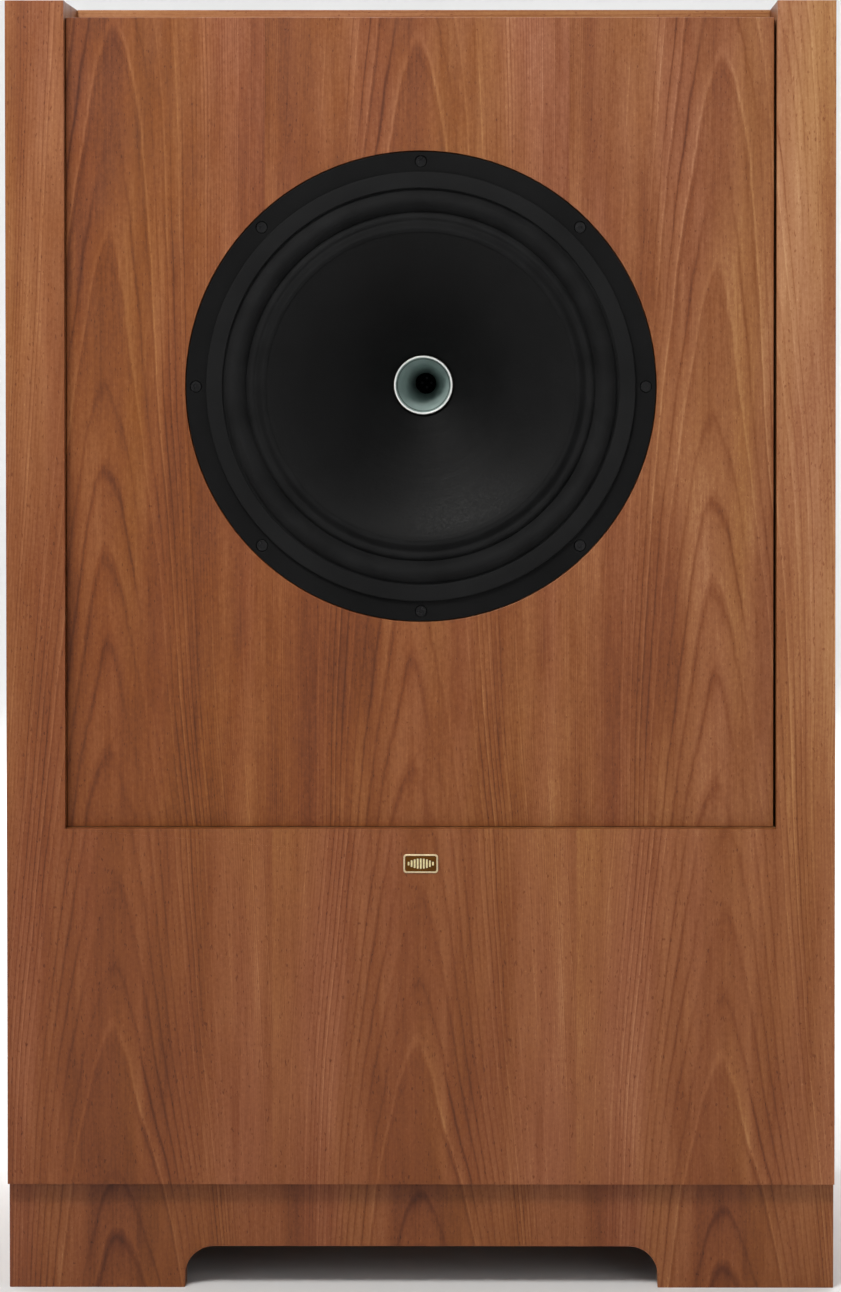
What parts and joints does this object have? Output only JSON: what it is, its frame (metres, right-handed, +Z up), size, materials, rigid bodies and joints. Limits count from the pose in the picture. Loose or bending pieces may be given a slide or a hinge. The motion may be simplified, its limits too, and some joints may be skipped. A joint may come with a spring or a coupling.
{
  "type": "floor-standing loudspeaker",
  "caption": "Floor-standing walnut-veneered loudspeaker with a recessed baffle, a large dual-concentric driver, a set-back plinth and a rear terminal cup.",
  "frame": {"origin": "middle of the footprint on the floor", "axes": "+Z up, -Y towards the listener, +X to the right seen from the front"},
  "size_m": [0.68, 0.44, 1.06],
  "materials": {
    "walnut": "satin oiled walnut veneer",
    "lipping": "satin walnut lipping, long grain",
    "board": "bare birch plywood",
    "lining": "matted felt",
    "screw_steel": "zinc plated",
    "black_steel": "black oxide",
    "badge_brass": "cast brass, rubbed",
    "cast_frame": "satin black paint on cast alloy",
    "clamp_ring": "matt black fibre",
    "gasket_rubber": "closed-cell foam rubber",
    "plated_steel": "zinc plated",
    "ferrite": "ground ferrite",
    "horn_metal": "turned, dull",
    "gold_brass": "gold plated",
    "mount_ring": "pressed sheet",
    "phenolic": "fibre board",
    "cone_paper": "felted black pulp",
    "former_paper": "kraft",
    "copper": "enamelled copper wire",
    "surround_cloth": "doped cloth",
    "spider_cloth": "resin-dipped cotton",
    "dome_metal": "thin foil",
    "capacitor_case": "tape wrapped",
    "cup_plastic": "moulded",
    "red_plastic": "moulded",
    "black_plastic": "moulded",
    "wire_insulation": "stranded, insulated"
  },
  "bodies": {
    "cabinet": {"front_frame": "walnut", "left_side": "walnut", "right_side": "walnut", "top_panel": "walnut", "left_post": "walnut", "right_post": "walnut", "top_ledge": "walnut", "back_panel": "walnut", "baffle": "walnut", "plinth_front": "walnut", "plinth_left": "walnut", "plinth_right": "walnut", "plinth_back": "walnut", "top_lipping": "lipping", "bottom_panel": "board", "back_cleats": "board", "baffle_cleats": "board", "lower_panel": "board", "cross_braces": "board", "plinth_blocks": "board", "crossover_board": "board", "side_lining": "lining", "back_lining": "lining", "back_screws": "screw_steel", "cup_screws": "screw_steel", "cover_screws": "screw_steel", "t_nuts": "screw_steel", "driver_bolts": "black_steel", "badge_plate": "badge_brass", "chassis": "cast_frame", "rear_cover": "cast_frame", "surround_ring": "clamp_ring", "chassis_gasket": "gasket_rubber", "top_plate": "plated_steel", "back_plate": "plated_steel", "hf_pole": "plated_steel", "hf_top_plate": "plated_steel", "lf_magnet": "ferrite", "hf_magnet": "ferrite", "hf_horn": "horn_metal", "phase_plug": "gold_brass", "post_studs": "gold_brass", "hf_mount_ring": "mount_ring", "driver_terminals": "phenolic", "inductors": "copper", "surround": "surround_cloth", "spider": "spider_cloth", "capacitors": "capacitor_case", "terminal_cup": "cup_plastic", "input_wires": "wire_insulation", "driver_wires": "wire_insulation"},
    "lf_cone": {"cone": "cone_paper", "coil_former": "former_paper", "lf_coil": "copper"},
    "hf_dome": {"hf_diaphragm": "dome_metal", "hf_coil": "copper"},
    "red_thread": {"red_insert": "gold_brass"},
    "red_knob": {"red_cap": "red_plastic"},
    "black_thread": {"black_insert": "gold_brass"},
    "black_knob": {"black_cap": "black_plastic"}
  },
  "joints": [
    {"name": "cone_travel", "type": "slide", "parent": "cabinet", "child": "lf_cone", "axis": [0, -1, 0], "range_m": [-0.006, 0.006], "stiffness_N_per_m": 2600, "deforming": ["surround", "spider"]},
    {"name": "dome_travel", "type": "slide", "parent": "cabinet", "child": "hf_dome", "axis": [0, -1, 0], "range_m": [-0.00035, 0.00035], "stiffness_N_per_m": 4000},
    {"name": "red_knob_lift", "type": "slide", "parent": "cabinet", "child": "red_thread", "axis": [0, 1, 0], "range_m": [0, 0.00501]},
    {"name": "red_knob_turn", "type": "hinge", "parent": "red_thread", "child": "red_knob", "pos_m": [0.022, 0.187, 0.24], "axis": [0, -1, 0], "range_deg": [0, 1440]},
    {"name": "black_knob_lift", "type": "slide", "parent": "cabinet", "child": "black_thread", "axis": [0, 1, 0], "range_m": [0, 0.00501]},
    {"name": "black_knob_turn", "type": "hinge", "parent": "black_thread", "child": "black_knob", "pos_m": [-0.022, 0.187, 0.24], "axis": [0, -1, 0], "range_deg": [0, 1440]}
  ],
  "couplings": [
    {"joint": "red_knob_lift", "follows": "red_knob_turn", "m_per_rad": 0.00019894},
    {"joint": "black_knob_lift", "follows": "black_knob_turn", "m_per_rad": 0.00019894}
  ]
}
